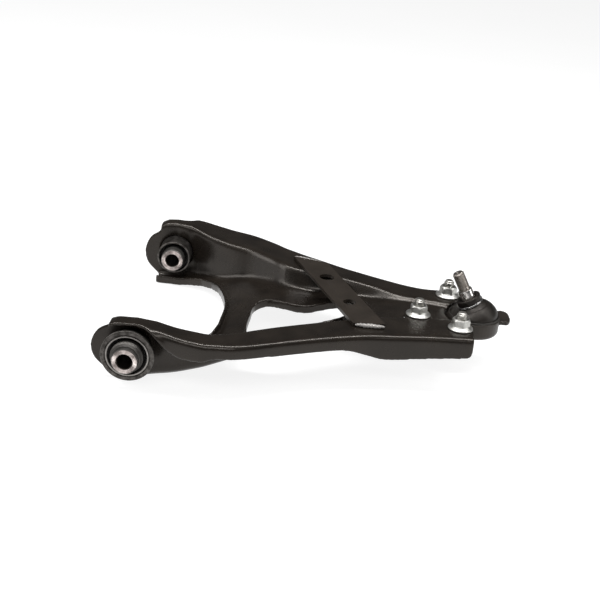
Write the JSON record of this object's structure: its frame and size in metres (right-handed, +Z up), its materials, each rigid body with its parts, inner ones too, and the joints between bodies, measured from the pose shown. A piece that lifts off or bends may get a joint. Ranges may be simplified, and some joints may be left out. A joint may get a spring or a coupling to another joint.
{
  "type": "control arm",
  "caption": "Pressed-steel lower suspension control arm with two rubber bushes, a welded cross strap and a bolted ball joint under a dust boot.",
  "frame": {"origin": "centre of the base of the whole part's bounding box", "axes": "+X from the bushes out to the ball joint, +Y along the bush axis from the front bush to the rear bush, +Z up, the way the ball stud stands"},
  "size_m": [0.392, 0.3208, 0.0968],
  "materials": {
    "black_paint": "satin black paint over pressed steel",
    "weld_bead": "painted fillet weld",
    "flange_steel": "worn grey steel sleeve and flange",
    "sleeve_steel": "bare pale steel with serrated ends",
    "bush_rubber": "matt black rubber",
    "forged_housing": "dark coated forging",
    "seat_plastic": "moulded bearing liner",
    "disc_steel": "spring steel",
    "boot_rubber": "matt brown-black rubber",
    "ring_wire": "bright wire",
    "stud_steel": "machined steel with rolled thread",
    "zinc": "bright zinc plating"
  },
  "bodies": {
    "arm": {"arm_pressing": "black_paint", "cross_strap": "black_paint", "strap_weld_front": "weld_bead", "strap_weld_rear": "weld_bead", "front_bush_outer_sleeve": "flange_steel", "front_bush_rubber": "bush_rubber", "rear_bush_outer_sleeve": "flange_steel", "rear_bush_rubber": "bush_rubber", "ball_joint_housing": "forged_housing", "ball_seat": "seat_plastic", "seat_pressure_disc": "disc_steel", "ball_joint_cap": "forged_housing", "boot_lower_ring": "ring_wire", "inboard_bolt": "zinc", "inboard_flange_nut": "zinc", "rear_bolt": "zinc", "rear_flange_nut": "zinc", "front_bolt": "zinc", "front_flange_nut": "zinc"},
    "front_inner": {"front_bush_inner_sleeve": "sleeve_steel", "front_bush_end_stop": "bush_rubber"},
    "rear_inner": {"rear_bush_inner_sleeve": "sleeve_steel", "rear_bush_end_stop": "bush_rubber"},
    "boot": {"dust_boot": "boot_rubber"},
    "boot_neck": {"boot_upper_ring": "ring_wire"},
    "stud": {"ball_stud": "stud_steel"}
  },
  "joints": [
    {"name": "front_bush_twist", "type": "hinge", "parent": "arm", "child": "front_inner", "pos_m": [-0.15798, -0.1255, 0.03198], "axis": [0, 1, 0], "range_deg": [-22, 22], "stiffness_Nm_per_rad": 40},
    {"name": "rear_bush_twist", "type": "hinge", "parent": "arm", "child": "rear_inner", "pos_m": [-0.15798, 0.1235, 0.03198], "axis": [0, 1, 0], "range_deg": [-22, 22], "stiffness_Nm_per_rad": 40},
    {"name": "stud_lean", "type": "hinge", "parent": "arm", "child": "boot", "pos_m": [0.15902, -0.0175, 0.05498], "axis": [0, 1, 0], "range_deg": [-1, 56], "deforming": ["dust_boot"]},
    {"name": "stud_swing", "type": "hinge", "parent": "boot", "child": "boot_neck", "pos_m": [0.15902, -0.0175, 0.05498], "axis": [1, 0, 0], "range_deg": [-18, 18], "deforming": ["dust_boot"]},
    {"name": "stud_spin", "type": "hinge", "parent": "boot_neck", "child": "stud", "pos_m": [0.15902, -0.0175, 0.05498], "axis": [-0.4787, 0, 0.878], "continuous": true}
  ]
}
